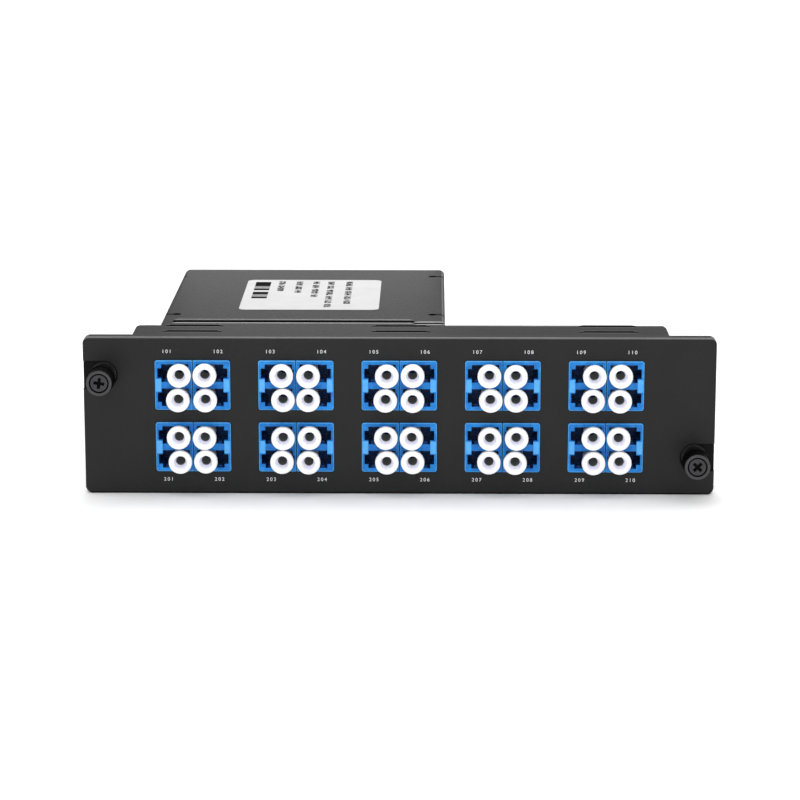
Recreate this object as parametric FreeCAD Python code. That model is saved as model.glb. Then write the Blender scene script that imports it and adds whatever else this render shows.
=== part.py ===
import FreeCAD
import Part

import math
import os

# Plug-in fibre multiplexer module: front panel with duplex ports, folded steel housing, filters inside.
# Frame: X to the right and Z up as seen from the front, Y into the housing.
# Origin: centre of the panel's rear face, midway between the two captive screws. Millimetres.

# Port grid on the panel
PORT_COLUMNS = 5
PORT_ROWS = 2
COLUMN_PITCH = 26.13
ROW_PITCH = 16.05

# Duplex adapter: a lip stands on the panel's face, the body passes through the window
LIP_WIDTH = 9.4
LIP_HEIGHT = 12.75
LIP_THICKNESS = 0.6
LIP_OVERLAP = 0.3
LIP_OUTER_CORNER = 0.6
LIP_EDGE = 0.18
PAIR_GAP = 0.2
ADAPTER_LENGTH = 22.0
WINDOW_CLEARANCE = 0.1
TAB_HEIGHT = 0.5
TAB_LENGTH = 2.2
TAB_WIDTH = 4.0
TAB_CLEARANCE = 0.1

# Keyed port: plug opening, latch slot towards the outer edge, notch towards the inner edge
PORT_PITCH = 6.25
PORT_AXIS = 3.2
PORT_INNER_WALL = 0.85
PORT_WIDTH = 6.9
PORT_HEIGHT = 4.6
LATCH_WALL = 0.35
LATCH_HEIGHT = 2.5
NOTCH_DEPTH = 0.43
NOTCH_HEIGHT = 1.95
WEB_THICKNESS = 2.0
CATCH_WIDTH = 0.9
CATCH_HEIGHT = 0.5
CATCH_SETBACK = 1.2
CATCH_LENGTH = 3.0
CATCH_FROM_LATCH = 0.75
PAD_WIDTH = 1.4
PAD_HEIGHT = 3.2
PAD_MARGIN = 0.06
PAD_RISE = 0.15

# Ceramic split sleeve and the tube that holds it, pressed into the adapter's web
SLEEVE_RADIUS = 0.8
SLEEVE_BORE = 0.64
SLEEVE_LENGTH = 6.4
SLEEVE_SLIT = 0.2
SLEEVE_CLEARANCE = 0.03
HOLDER_WALL = 0.6
HOLDER_REACH = 3.5
HOLDER_FIT = 0.02

# Dust cap
CAP_FLANGE_RADIUS = 2.97
CAP_FLANGE_THICKNESS = 1.4
CAP_FLANGE_ROUND = 0.4
CAP_STANDOFF = 4.0
CAP_FIT = 0.05
CAP_TIP_ROOM = 0.4
CAP_TIP_CHAMFER = 0.4
CAP_MOUTH_RADIUS = 1.72
CAP_BORE_RADIUS = 1.18
CAP_MOUTH_DEPTH = 2.4
CAP_LEAN_SIDEWAYS = 1.9
CAP_LEAN_UPRIGHT = 0.8
CAP_LEAN_STEP = 137.5

# Front panel
PANEL_MARGIN_TOP = 5.95
PANEL_MARGIN_SIDE = 18.24
PANEL_THICKNESS = 3.3
PANEL_CORNER = 1.8
PANEL_EDGE = 0.6
PANEL_SKIN = 0.8

# Captive screws, upper left and lower right
SCREW_EDGE_DISTANCE = 5.2
SCREW_OFF_CENTRE = 10.55
POCKET_RADIUS = 3.6
POCKET_FLOOR = 1.7
KNOB_STANDOFF = 10.3
KNOB_RADIUS = 3.25
KNOB_RIM_RADIUS = 3.5
KNOB_RIM_LENGTH = 0.7
KNOB_CHAMFER = 0.12
KNURL_DEPTH = 0.16
KNURL_COUNT = 36
KNURL_OPENING = 0.72
KNOB_WALL = 0.45
HEAD_RECESS_WALL = 0.75
HEAD_RECESS_DEPTH = 1.4
KNOB_WEB = 0.7
SCREW_TRAVEL = 3.0
TRAVEL_ROOM = 0.3
GUIDE_OVERLAP = 0.2
SCREW_RADIUS = 1.5
SCREW_NECK_RADIUS = 1.25
SCREW_REACH = 4.0
SCREW_TIP_CHAMFER = 0.4
HEAD_CLEARANCE = 0.38
HEAD_SINK = 0.12
CROSS_LENGTH = 2.75
CROSS_WIDTH = 0.8
CROSS_DEPTH = 0.8
LEFT_CROSS_TURN = 8.0
RIGHT_CROSS_TURN = 45.0
FERRULE_CLEARANCE = 0.2
FERRULE_WALL = 0.5
FERRULE_COLLAR = 0.6
FERRULE_COLLAR_RADIUS = 3.2
FERRULE_SEAT = 1.0
PRESS_CLEARANCE = 0.02
SHANK_CLEARANCE = 0.1
RING_RADIUS = 2.4
RING_THICKNESS = 0.5
RING_RECESS = 0.7
RING_CLEARANCE = 0.05
RING_GAP = 1.6
SPRING_WIRE = 0.4
SPRING_TURNS = 6.0
SPRING_CLEARANCE = 0.2

# Housing of folded sheet
SHEET = 1.0
COVER_DROP = 4.0
COVER_CLEARANCE = 0.15
FLANGE_SCREW_MARGIN = 1.2
BEND_RADIUS = 1.2
CORNER_RADIUS = 1.6
SIDE_ROOM = 8.5
FLANGE_CORNER_GAP = 6.0
FLANGE_FRONT_GAP = 2.0
TRAY_TAB_WIDTH = 5.0
TRAY_TAB_HEIGHT = 26.0

# Cuts in the cover
STRAP_SPACING = 54.5
STRAP_LENGTH = 15.5
STRAP_WIDTH = 7.4
STRAP_SLIT = 0.8
STRAP_LIP_RADIUS = 0.35
STRAP_EDGE_DISTANCE = 2.1
SEAM_SLOT_DISTANCE = 3.0
SEAM_SLOT_WIDTH = 2.5
SEAM_SLOT_LEFT_MARGIN = 3.2
SEAM_SLOT_RIGHT_MARGIN = 8.25
SEAM_STEP_DISTANCE = 1.2
SEAM_STEP_WIDTH = 1.3
SEAM_LIP_RADIUS = 0.5
RELIEF_FRONT_DISTANCE = 14.1
RELIEF_BACK_DISTANCE = 11.4
RELIEF_LENGTH = 3.4
RELIEF_NOTCH = 1.3
RELIEF_WIDTH = 1.1
RELIEF_HOLE_RADIUS = 1.2

# Countersunk housing screws
HOUSING_SCREW_RADIUS = 1.25
HOUSING_HEAD_RADIUS = 2.2
HOUSING_SCREW_FIT = 0.05
HOUSING_SCREW_TIP_ROOM = 0.1
HOUSING_SCREW_INSET = 10.0
HOUSING_SCREW_SPREAD = 8.0
DRIVE_RADIUS = 0.75
DRIVE_DEPTH = 0.6

# Short plugs behind the adapters
PLUG_CLEARANCE = 0.1
PLUG_NOSE_ROOM = 0.4
PLUG_NOSE_WALL = 0.55
PLUG_NOSE_DEPTH = 4.0
PLUG_TAIL = 2.2
PLUG_FERRULE_RADIUS = 0.625
PLUG_TIP_GAP = 0.1
PLUG_FERRULE_ROOT = 1.0
PLUG_ARM_REACH = 2.4
PLUG_ARM_THICKNESS = 0.7
PLUG_ARM_WIDTH = 1.9
BOOT_LENGTH = 4.0
BOOT_RADIUS = 1.3
BOOT_TIP_RADIUS = 0.7

# Fibre harness
FIBRE_RADIUS = 0.45
FIBRE_RUN = 3.35
TRUNK_RADIUS = 1.25
TRUNK_BEND = 3.5
TRUNK_END = 2.0
TRUNK_WALL_GAP = 2.0
LOOP_THICKNESS = 3.0
LOOP_GAP = 0.3
LOOP_ROOM = 7.0
LOOP_STRAIGHT = 9.0
LOOP_TOP_ROOM = 2.8
LOOP_FRONT_GAP = 0.5

# Channel filters in their rack
FILTER_COLUMNS = 8
FILTER_ROWS = 4
FILTER_RADIUS = 2.75
FILTER_LENGTH = 34.0
FILTER_PITCH = 6.1
FILTER_FIT = 0.05
FILTER_END_LENGTH = 3.0
FILTER_END_RADIUS = 0.9
RACK_PLATE = 3.0
RACK_PLATE_SETBACK = 4.0
RACK_EDGE = 1.0
RACK_BASE = 1.5

# Working allowances: reach of a cut past the face that it opens, and how close equal places lie
OVERCUT = 1.0
SAME_PLACE = 1e-6

V = FreeCAD.Vector

# Sizes that follow from the values above
pair_width = 2 * LIP_WIDTH + PAIR_GAP
panel_width = (PORT_COLUMNS - 1) * COLUMN_PITCH + pair_width + 2 * PANEL_MARGIN_SIDE
panel_height = (PORT_ROWS - 1) * ROW_PITCH + LIP_HEIGHT + 2 * PANEL_MARGIN_TOP
panel_front = -PANEL_THICKNESS
panel_bottom = -panel_height / 2
adapter_face = panel_front - LIP_THICKNESS
adapter_back = adapter_face + ADAPTER_LENGTH
adapter_middle = adapter_face + ADAPTER_LENGTH / 2
port_depth = (ADAPTER_LENGTH - WEB_THICKNESS) / 2
body_width = LIP_WIDTH - LIP_OVERLAP
body_height = LIP_HEIGHT - 2 * LIP_OVERLAP
holder_bore = SLEEVE_RADIUS + SLEEVE_CLEARANCE
holder_radius = holder_bore + HOLDER_WALL
holder_front = adapter_middle - WEB_THICKNESS / 2 - HOLDER_REACH
holder_back = adapter_middle + WEB_THICKNESS / 2 + HOLDER_REACH
cap_face = adapter_face - CAP_STANDOFF
cap_tip = holder_front - CAP_TIP_ROOM

knob_face = panel_front - KNOB_STANDOFF
knob_length = HEAD_RECESS_DEPTH + KNOB_WEB + SCREW_TRAVEL + TRAVEL_ROOM + GUIDE_OVERLAP
knob_back = knob_face + knob_length
web_front = knob_face + HEAD_RECESS_DEPTH
web_back = web_front + KNOB_WEB
cavity_radius = KNOB_RADIUS - KNOB_WALL
ferrule_radius = cavity_radius - FERRULE_CLEARANCE
ferrule_bore = ferrule_radius - FERRULE_WALL
ferrule_front = knob_back - GUIDE_OVERLAP
ferrule_back = -RING_RECESS
spring_seat = ferrule_back - FERRULE_SEAT
ring_front = ferrule_back + RING_CLEARANCE
ring_back = ring_front + RING_THICKNESS

cover_top = panel_height / 2 - COVER_DROP
cover_under = cover_top - SHEET
tray_floor = panel_bottom + SHEET
tray_inset = SHEET + COVER_CLEARANCE
wall_inset = tray_inset + SHEET
boot_tip = adapter_back + PLUG_TAIL + BOOT_LENGTH
trunk_y = boot_tip + FIBRE_RUN
front_section_width = (PORT_COLUMNS - 1) * COLUMN_PITCH + pair_width + 2 * SIDE_ROOM
front_section_depth = trunk_y + TRUNK_RADIUS + TRUNK_WALL_GAP + wall_inset
rack_width = FILTER_COLUMNS * FILTER_PITCH + 2 * RACK_EDGE
loop_inner = rack_width / 2 + LOOP_ROOM
loop_outer = loop_inner + LOOP_THICKNESS
rear_section_width = 2 * (loop_outer + LOOP_GAP + wall_inset)
rear_middle = -COLUMN_PITCH
rear_left = rear_middle - rear_section_width / 2
rear_right = rear_middle + rear_section_width / 2
loop_front = front_section_depth + LOOP_FRONT_GAP
loop_middle = loop_front + loop_outer + LOOP_STRAIGHT / 2
body_depth = loop_front + 2 * loop_outer + LOOP_STRAIGHT + LOOP_GAP + wall_inset
relief_front = front_section_depth + RELIEF_FRONT_DISTANCE
relief_back = body_depth - RELIEF_BACK_DISTANCE

column_places = [(i - (PORT_COLUMNS - 1) / 2) * COLUMN_PITCH for i in range(PORT_COLUMNS)]
row_places = [((PORT_ROWS - 1) / 2 - i) * ROW_PITCH for i in range(PORT_ROWS)]
flange_bottom = row_places[0] - HOUSING_HEAD_RADIUS - FLANGE_SCREW_MARGIN
screw_places = {
    "left": (SCREW_EDGE_DISTANCE - panel_width / 2, SCREW_OFF_CENTRE, LEFT_CROSS_TURN),
    "right": (panel_width / 2 - SCREW_EDGE_DISTANCE, -SCREW_OFF_CENTRE, RIGHT_CROSS_TURN),
}


def box(x0, x1, y0, y1, z0, z1):
    """Box between two corners."""
    return Part.makeBox(x1 - x0, y1 - y0, z1 - z0, V(x0, y0, z0))


def rod(radius, x, z, y0, y1):
    """Round bar along Y."""
    return Part.makeCylinder(radius, y1 - y0, V(x, y0, z), V(0, 1, 0))


def turned(points):
    """Solid of revolution about the Y axis from (radius, y) points."""
    corners = [V(r, y, 0) for r, y in points]
    outline = Part.Face(Part.makePolygon(corners + corners[:1]))
    return outline.revolve(V(0, 0, 0), V(0, 1, 0), 360)


def moved(shape, x, z):
    """Copy of a shape at another place."""
    copy = shape.copy()
    copy.translate(V(x, 0, z))
    return copy


def edges_along(shape, direction):
    """Straight edges parallel to a direction."""
    found = []
    for edge in shape.Edges:
        if not isinstance(edge.Curve, Part.Line):
            continue
        across = edge.tangentAt(edge.FirstParameter).cross(direction)
        if across.Length < SAME_PLACE:
            found.append(edge)
    return found


def edges_in_plane_y(shape, y):
    """Edges that lie in the plane at a given Y."""
    found = []
    for edge in shape.Edges:
        bounds = edge.BoundBox
        if max(abs(bounds.YMin - y), abs(bounds.YMax - y)) < SAME_PLACE:
            found.append(edge)
    return found


def edges_at_height(shape, z):
    """Edges that lie in the plane at a given Z, but for the one against the panel."""
    found = []
    for edge in shape.Edges:
        bounds = edge.BoundBox
        level = max(abs(bounds.ZMin - z), abs(bounds.ZMax - z)) < SAME_PLACE
        if level and bounds.YMax > SAME_PLACE:
            found.append(edge)
    return found


def adapter_outlines():
    """Row, number, inner edge, height and side of the two adapters in every window."""
    for row, z in enumerate(row_places):
        for column, x in enumerate(column_places):
            yield row, 2 * column, x - PAIR_GAP / 2, z, -1
            yield row, 2 * column + 1, x + PAIR_GAP / 2, z, 1


def port_places():
    """Axis of every port, with its adapter's row and number and its place in the adapter."""
    for row, number, x, z, side in adapter_outlines():
        yield row, number, "a", x + side * PORT_AXIS, z + PORT_PITCH / 2, side
        yield row, number, "b", x + side * PORT_AXIS, z - PORT_PITCH / 2, side


def port_cut(y0, y1, z):
    """Keyed opening of one port: plug, latch slot and notch."""
    inner = PORT_INNER_WALL
    outer = PORT_INNER_WALL + PORT_WIDTH
    latch_outer = body_width - LATCH_WALL
    plug = box(inner, outer, y0, y1, z - PORT_HEIGHT / 2, z + PORT_HEIGHT / 2)
    latch = box(outer - OVERCUT, latch_outer, y0, y1, z - LATCH_HEIGHT / 2, z + LATCH_HEIGHT / 2)
    notch = box(inner - NOTCH_DEPTH, inner + OVERCUT, y0, y1, z - NOTCH_HEIGHT / 2, z + NOTCH_HEIGHT / 2)
    return plug.fuse([latch, notch])


def snap_tab(side):
    """Wedge that holds the adapter behind the panel, above or below its body."""
    root = side * body_height / 2
    crest = side * (body_height / 2 + TAB_HEIGHT)
    x0 = (body_width - TAB_WIDTH) / 2
    front = TAB_CLEARANCE
    corners = [V(x0, front, root), V(x0, front, crest), V(x0, front + TAB_LENGTH, root)]
    return Part.Face(Part.makePolygon(corners + corners[:1])).extrude(V(TAB_WIDTH, 0, 0))


def duplex_adapter():
    """Duplex adapter with its inner edge at X = 0 and the latch slots at its outer edge."""
    half = LIP_HEIGHT / 2
    lip_back = adapter_face + LIP_THICKNESS
    lip = box(0, LIP_WIDTH, adapter_face, lip_back, -half, half)
    outer_corners = [e for e in edges_along(lip, V(0, 1, 0)) if e.BoundBox.XMin > LIP_WIDTH / 2]
    lip = lip.makeFillet(LIP_OUTER_CORNER, outer_corners)
    lip = lip.makeChamfer(LIP_EDGE, edges_in_plane_y(lip, adapter_face))
    body = box(0, body_width, lip_back, adapter_back, -body_height / 2, body_height / 2)
    pad_right = LIP_WIDTH - LIP_EDGE - PAD_MARGIN
    pad_left = pad_right - PAD_WIDTH
    pad_front = adapter_face - PAD_RISE
    pad = box(pad_left, pad_right, pad_front, lip_back, -PAD_HEIGHT / 2, PAD_HEIGHT / 2)
    shell = lip.fuse([body, snap_tab(1), snap_tab(-1), pad])
    cuts = []
    catches = []
    for z in (PORT_PITCH / 2, -PORT_PITCH / 2):
        cuts.append(port_cut(adapter_face - OVERCUT, adapter_face + port_depth, z))
        cuts.append(port_cut(adapter_back - port_depth, adapter_back + OVERCUT, z))
        cuts.append(rod(holder_radius + HOLDER_FIT, PORT_AXIS, z, holder_front, holder_back))
        catch_right = PORT_INNER_WALL + PORT_WIDTH - CATCH_FROM_LATCH
        catch_left = catch_right - CATCH_WIDTH
        catch_front = adapter_face + CATCH_SETBACK
        catch_back = catch_front + CATCH_LENGTH
        for side in (1, -1):
            wall = z + side * PORT_HEIGHT / 2
            tip = wall - side * CATCH_HEIGHT
            low, high = sorted((wall, tip))
            catches.append(box(catch_left, catch_right, catch_front, catch_back, low, high))
    return shell.cut(cuts).fuse(catches).removeSplitter()


def sleeve_holder():
    """Tube on the Y axis that passes through the adapter's web and holds the split sleeve."""
    tube = rod(holder_radius, 0, 0, holder_front, holder_back)
    return tube.cut(rod(holder_bore, 0, 0, holder_front, holder_back))


def split_sleeve():
    """Ceramic sleeve with its slit, on the Y axis."""
    front = adapter_middle - SLEEVE_LENGTH / 2
    back = adapter_middle + SLEEVE_LENGTH / 2
    tube = rod(SLEEVE_RADIUS, 0, 0, front, back).cut(rod(SLEEVE_BORE, 0, 0, front, back))
    return tube.cut(box(-SLEEVE_SLIT / 2, SLEEVE_SLIT / 2, front, back, 0, SLEEVE_RADIUS + OVERCUT))


def dust_cap():
    """Flanged hollow cap on the Y axis, its stem in the port."""
    lean = math.radians(math.hypot(CAP_LEAN_SIDEWAYS, CAP_LEAN_UPRIGHT))
    stem = PORT_HEIGHT / 2 - CAP_FIT - (cap_tip - adapter_face) / 2 * math.tan(lean)
    profile = [
        (CAP_BORE_RADIUS, cap_tip),
        (CAP_BORE_RADIUS, cap_face + CAP_MOUTH_DEPTH),
        (CAP_MOUTH_RADIUS, cap_face),
        (CAP_FLANGE_RADIUS, cap_face),
        (CAP_FLANGE_RADIUS, cap_face + CAP_FLANGE_THICKNESS),
        (stem, cap_face + CAP_FLANGE_THICKNESS),
        (stem, cap_tip - CAP_TIP_CHAMFER),
        (stem - CAP_TIP_CHAMFER, cap_tip),
    ]
    cap = turned(profile)
    face_middle = (CAP_MOUTH_RADIUS + CAP_FLANGE_RADIUS) / 2
    rims = [e for e in edges_in_plane_y(cap, cap_face) if e.BoundBox.XMax > face_middle]
    return cap.makeFillet(CAP_FLANGE_ROUND, rims)


def leaning_cap(cap, x, z, index):
    """Dust cap in its port, leaning a little in a direction that steps round from port to port."""
    turn = math.radians(index * CAP_LEAN_STEP)
    pivot = V(x, (adapter_face + cap_tip) / 2, z)
    placed = moved(cap, x, z)
    placed.rotate(pivot, V(0, 0, 1), CAP_LEAN_SIDEWAYS * math.cos(turn))
    placed.rotate(pivot, V(1, 0, 0), CAP_LEAN_UPRIGHT * math.sin(turn))
    return placed


def panel_window(x, z):
    """Opening in the panel for one pair of adapters."""
    half_width = body_width + PAIR_GAP / 2 + WINDOW_CLEARANCE
    half_height = body_height / 2 + WINDOW_CLEARANCE
    front = panel_front - OVERCUT
    return box(x - half_width, x + half_width, front, OVERCUT, z - half_height, z + half_height)


def screw_pocket(x, z):
    """Pocket of a captive screw, open to the near side edge, with the hole for its ferrule."""
    floor = -POCKET_FLOOR
    front = panel_front - OVERCUT
    outside = math.copysign(panel_width / 2 + OVERCUT, x)
    left, right = sorted((x, outside))
    return [
        box(left, right, front, floor, z - POCKET_RADIUS, z + POCKET_RADIUS),
        rod(POCKET_RADIUS, x, z, front, floor),
        rod(ferrule_radius + PRESS_CLEARANCE, x, z, floor - OVERCUT, OVERCUT),
    ]


def front_panel():
    """Painted plate with port windows, screw pockets and blind holes for the housing."""
    half = panel_width / 2
    plate = box(-half, half, panel_front, 0, panel_bottom, -panel_bottom)
    plate = plate.makeFillet(PANEL_CORNER, edges_along(plate, V(0, 1, 0)))
    plate = plate.makeFillet(PANEL_EDGE, edges_in_plane_y(plate, panel_front))
    cuts = [panel_window(x, z) for z in row_places for x in column_places]
    for x, z, _ in screw_places.values():
        cuts += screw_pocket(x, z)
    for x, z in panel_screw_places():
        cuts.append(rod(HOUSING_SCREW_RADIUS + HOUSING_SCREW_FIT, x, z, panel_front + PANEL_SKIN, OVERCUT))
    return plate.cut(cuts)


def screw_ferrule():
    """Guide tube pressed into the panel, on the Y axis, with a seat for the spring at its rear."""
    floor = -POCKET_FLOOR
    bore = SCREW_NECK_RADIUS + SHANK_CLEARANCE
    profile = [
        (bore, ferrule_back),
        (bore, spring_seat),
        (ferrule_bore, spring_seat),
        (ferrule_bore, ferrule_front),
        (ferrule_radius, ferrule_front),
        (ferrule_radius, floor - FERRULE_COLLAR),
        (FERRULE_COLLAR_RADIUS, floor - FERRULE_COLLAR),
        (FERRULE_COLLAR_RADIUS, floor),
        (ferrule_radius, floor),
        (ferrule_radius, ferrule_back),
    ]
    return turned(profile)


def thumb_knob():
    """Knurled knob on the Y axis, recessed for the screw's head and hollow over the ferrule."""
    profile = [
        (SCREW_NECK_RADIUS + PRESS_CLEARANCE, web_back),
        (SCREW_NECK_RADIUS + PRESS_CLEARANCE, web_front),
        (KNOB_RADIUS - HEAD_RECESS_WALL, web_front),
        (KNOB_RADIUS - HEAD_RECESS_WALL, knob_face),
        (KNOB_RADIUS - KNOB_CHAMFER, knob_face),
        (KNOB_RADIUS, knob_face + KNOB_CHAMFER),
        (KNOB_RADIUS, knob_back - KNOB_RIM_LENGTH),
        (KNOB_RIM_RADIUS, knob_back - KNOB_RIM_LENGTH),
        (KNOB_RIM_RADIUS, knob_back),
        (cavity_radius, knob_back),
        (cavity_radius, web_back),
    ]
    knob = turned(profile)
    pitch = 2 * math.pi / KNURL_COUNT
    half = pitch * KNURL_OPENING / 2
    root = KNOB_RADIUS - KNURL_DEPTH
    outside = KNOB_RADIUS + KNURL_DEPTH
    grooves = []
    for i in range(KNURL_COUNT):
        turn = pitch * i
        corners = [(root, turn), (outside, turn - half), (outside, turn + half)]
        points = [V(r * math.cos(a), knob_face - OVERCUT, r * math.sin(a)) for r, a in corners]
        groove = Part.Face(Part.makePolygon(points + points[:1]))
        grooves.append(groove.extrude(V(0, knob_length - KNOB_RIM_LENGTH + OVERCUT, 0)))
    return knob.cut(grooves)


def captive_screw(cross_turn):
    """Screw on the Y axis: cross recess in its head, slim neck, full thread behind the retaining ring."""
    head_radius = KNOB_RADIUS - HEAD_RECESS_WALL - HEAD_CLEARANCE
    head_front = knob_face + HEAD_SINK
    thread_front = ring_back + RING_CLEARANCE
    profile = [
        (0, head_front),
        (head_radius, head_front),
        (head_radius, web_front),
        (SCREW_NECK_RADIUS, web_front),
        (SCREW_NECK_RADIUS, thread_front),
        (SCREW_RADIUS, thread_front),
        (SCREW_RADIUS, SCREW_REACH - SCREW_TIP_CHAMFER),
        (SCREW_RADIUS - SCREW_TIP_CHAMFER, SCREW_REACH),
        (0, SCREW_REACH),
    ]
    length = CROSS_LENGTH / 2
    width = CROSS_WIDTH / 2
    floor = head_front + CROSS_DEPTH
    cross = box(-length, length, head_front - OVERCUT, floor, -width, width)
    cross = cross.fuse(box(-width, width, head_front - OVERCUT, floor, -length, length))
    cross.rotate(V(0, 0, 0), V(0, 1, 0), cross_turn)
    return turned(profile).cut(cross)


def retaining_ring():
    """Open clip on the screw's neck, on the Y axis between the ferrule and the thread."""
    bore = SCREW_NECK_RADIUS + RING_CLEARANCE
    ring = rod(RING_RADIUS, 0, 0, ring_front, ring_back).cut(rod(bore, 0, 0, ring_front, ring_back))
    return ring.cut(box(-RING_GAP / 2, RING_GAP / 2, ring_front, ring_back, 0, RING_RADIUS + OVERCUT))


def return_spring():
    """Coil spring on the Y axis between the ferrule's seat and the knob's web."""
    radius = SCREW_NECK_RADIUS + SPRING_CLEARANCE + SPRING_WIRE / 2
    length = spring_seat - web_back - SPRING_WIRE - 2 * PRESS_CLEARANCE
    path = Part.Wire(Part.makeHelix(length / SPRING_TURNS, length, radius).Edges)
    section = Part.Wire(Part.makeCircle(SPRING_WIRE / 2, V(radius, 0, 0), V(0, 1, 0)))
    coil = path.makePipeShell([section], True, True)
    coil.rotate(V(0, 0, 0), V(1, 0, 0), -90)
    coil.translate(V(0, web_back + SPRING_WIRE / 2 + PRESS_CLEARANCE, 0))
    return coil


def housing_plan(inset, front, z0, z1):
    """Prism on the housing's stepped plan, drawn in from its outline."""
    half = front_section_width / 2 - inset
    left = rear_left + inset
    right = rear_right - inset
    step = front_section_depth - inset
    back = body_depth - inset
    plan = [(-half, front), (half, front), (half, step), (right, step)]
    plan += [(right, back), (left, back), (left, step), (-half, step)]
    corners = [V(x, y, z0) for x, y in plan]
    return Part.Face(Part.makePolygon(corners + corners[:1])).extrude(V(0, 0, z1 - z0))


def outer_corner_edges(shape):
    """Upright edges at the four outward corners behind the panel."""
    wide = front_section_width / 2
    places = [(wide, front_section_depth), (-wide, front_section_depth)]
    places += [(rear_left, body_depth), (rear_right, body_depth)]
    found = []
    for edge in edges_along(shape, V(0, 0, 1)):
        point = edge.valueAt(edge.FirstParameter)
        if any(math.hypot(point.x - x, point.y - y) < SAME_PLACE for x, y in places):
            found.append(edge)
    return found


def flange_spans():
    """Boxes round the stretches of the cover's edge that are folded down."""
    low = flange_bottom
    deep = SHEET + BEND_RADIUS
    wide = front_section_width / 2
    side_front = relief_front + RELIEF_WIDTH / 2
    side_back = relief_back - RELIEF_WIDTH / 2
    wing_back = front_section_depth - FLANGE_CORNER_GAP
    return [
        box(rear_left - OVERCUT, rear_left + deep, side_front, side_back, low, cover_under),
        box(rear_right - deep, rear_right + OVERCUT, side_front, side_back, low, cover_under),
        box(
            rear_left + FLANGE_CORNER_GAP,
            rear_right - FLANGE_CORNER_GAP,
            body_depth - deep,
            body_depth + OVERCUT,
            low,
            cover_under,
        ),
        box(-wide - OVERCUT, deep - wide, FLANGE_FRONT_GAP, wing_back, low, cover_under),
        box(wide - deep, wide + OVERCUT, FLANGE_FRONT_GAP, wing_back, low, cover_under),
        box(
            rear_right + FLANGE_CORNER_GAP,
            wide - FLANGE_CORNER_GAP,
            front_section_depth - deep,
            front_section_depth + OVERCUT,
            low,
            cover_under,
        ),
    ]


def rolled_slot(left, right, front, back, roll):
    """Cut along X through the cover's top, its long upper edges rolled over."""
    low = flange_bottom - OVERCUT
    high = cover_top + OVERCUT
    shoulder = cover_top - roll
    diagonal = roll * math.cos(math.pi / 4)

    def at(y, z):
        return V(left, y, z)

    back_roll = at(back + roll - diagonal, shoulder + diagonal)
    front_roll = at(front - roll + diagonal, shoulder + diagonal)
    outline = Part.Wire([
        Part.makeLine(at(front, low), at(back, low)),
        Part.makeLine(at(back, low), at(back, shoulder)),
        Part.Arc(at(back, shoulder), back_roll, at(back + roll, cover_top)).toShape(),
        Part.makeLine(at(back + roll, cover_top), at(back + roll, high)),
        Part.makeLine(at(back + roll, high), at(front - roll, high)),
        Part.makeLine(at(front - roll, high), at(front - roll, cover_top)),
        Part.Arc(at(front - roll, cover_top), front_roll, at(front, shoulder)).toShape(),
        Part.makeLine(at(front, shoulder), at(front, low)),
    ])
    return Part.Face(outline).extrude(V(right - left, 0, 0))


def relief_slit(outside, end, y, low, high):
    """Slit from outside a long edge that frees the end of its fold."""
    left, right = sorted((outside, end))
    return box(left, right, y - RELIEF_WIDTH / 2, y + RELIEF_WIDTH / 2, low, high)


def cover_cuts():
    """Slits, slots and reliefs through the cover's top."""
    low = flange_bottom - OVERCUT
    high = cover_top + OVERCUT
    cuts = []
    for x in (-STRAP_SPACING, 0, STRAP_SPACING):
        left = x - STRAP_LENGTH / 2
        right = x + STRAP_LENGTH / 2
        for setback in (STRAP_EDGE_DISTANCE, STRAP_EDGE_DISTANCE + STRAP_WIDTH):
            front = front_section_depth - setback - STRAP_SLIT / 2
            cuts.append(rolled_slot(left, right, front, front + STRAP_SLIT, STRAP_LIP_RADIUS))
    slot_left = rear_left + SEAM_SLOT_LEFT_MARGIN
    slot_right = rear_right - SEAM_SLOT_RIGHT_MARGIN
    slot_front = front_section_depth + SEAM_SLOT_DISTANCE
    cuts.append(rolled_slot(slot_left, slot_right, slot_front, slot_front + SEAM_SLOT_WIDTH, SEAM_LIP_RADIUS))
    step_front = front_section_depth + SEAM_STEP_DISTANCE
    step_back = step_front + SEAM_STEP_WIDTH
    cuts.append(rolled_slot(slot_right, rear_right + OVERCUT, step_front, step_back, STRAP_LIP_RADIUS))
    ends = [
        (rear_left - OVERCUT, rear_left + RELIEF_LENGTH, relief_front),
        (rear_right + OVERCUT, rear_right - RELIEF_LENGTH, relief_front),
        (rear_right + OVERCUT, rear_right - RELIEF_LENGTH, relief_back),
    ]
    for outside, end, y in ends:
        cuts.append(relief_slit(outside, end, y, low, high))
        cuts.append(Part.makeCylinder(RELIEF_HOLE_RADIUS, high - low, V(end, y, low)))
    cuts.append(relief_slit(rear_left - OVERCUT, rear_left + RELIEF_NOTCH, relief_back, low, high))
    return cuts


def top_cover():
    """Folded cover over both sections, with its flanges, slits and seam slot."""
    low = flange_bottom
    outer = housing_plan(0, 0, low, cover_top)
    outer = outer.makeFillet(CORNER_RADIUS, outer_corner_edges(outer))
    outer = outer.makeFillet(BEND_RADIUS, edges_at_height(outer, cover_top))
    shell = outer.cut(housing_plan(SHEET, -OVERCUT, low - OVERCUT, cover_under))
    wide = front_section_width / 2 + OVERCUT
    trim = box(-wide, wide, -OVERCUT, body_depth + OVERCUT, low - OVERCUT, cover_under).cut(flange_spans())
    cover = shell.cut(trim).cut(cover_cuts())
    return cover.cut([housing_screw(HOUSING_SCREW_FIT, *place) for place in cover_screw_places()])


def panel_screw_places():
    """Screws through the tray's front tabs into the panel."""
    x = front_section_width / 2 - wall_inset - TRAY_TAB_WIDTH / 2
    return [(side * x, z) for side in (-1, 1) for z in (-HOUSING_SCREW_SPREAD, HOUSING_SCREW_SPREAD)]


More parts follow.
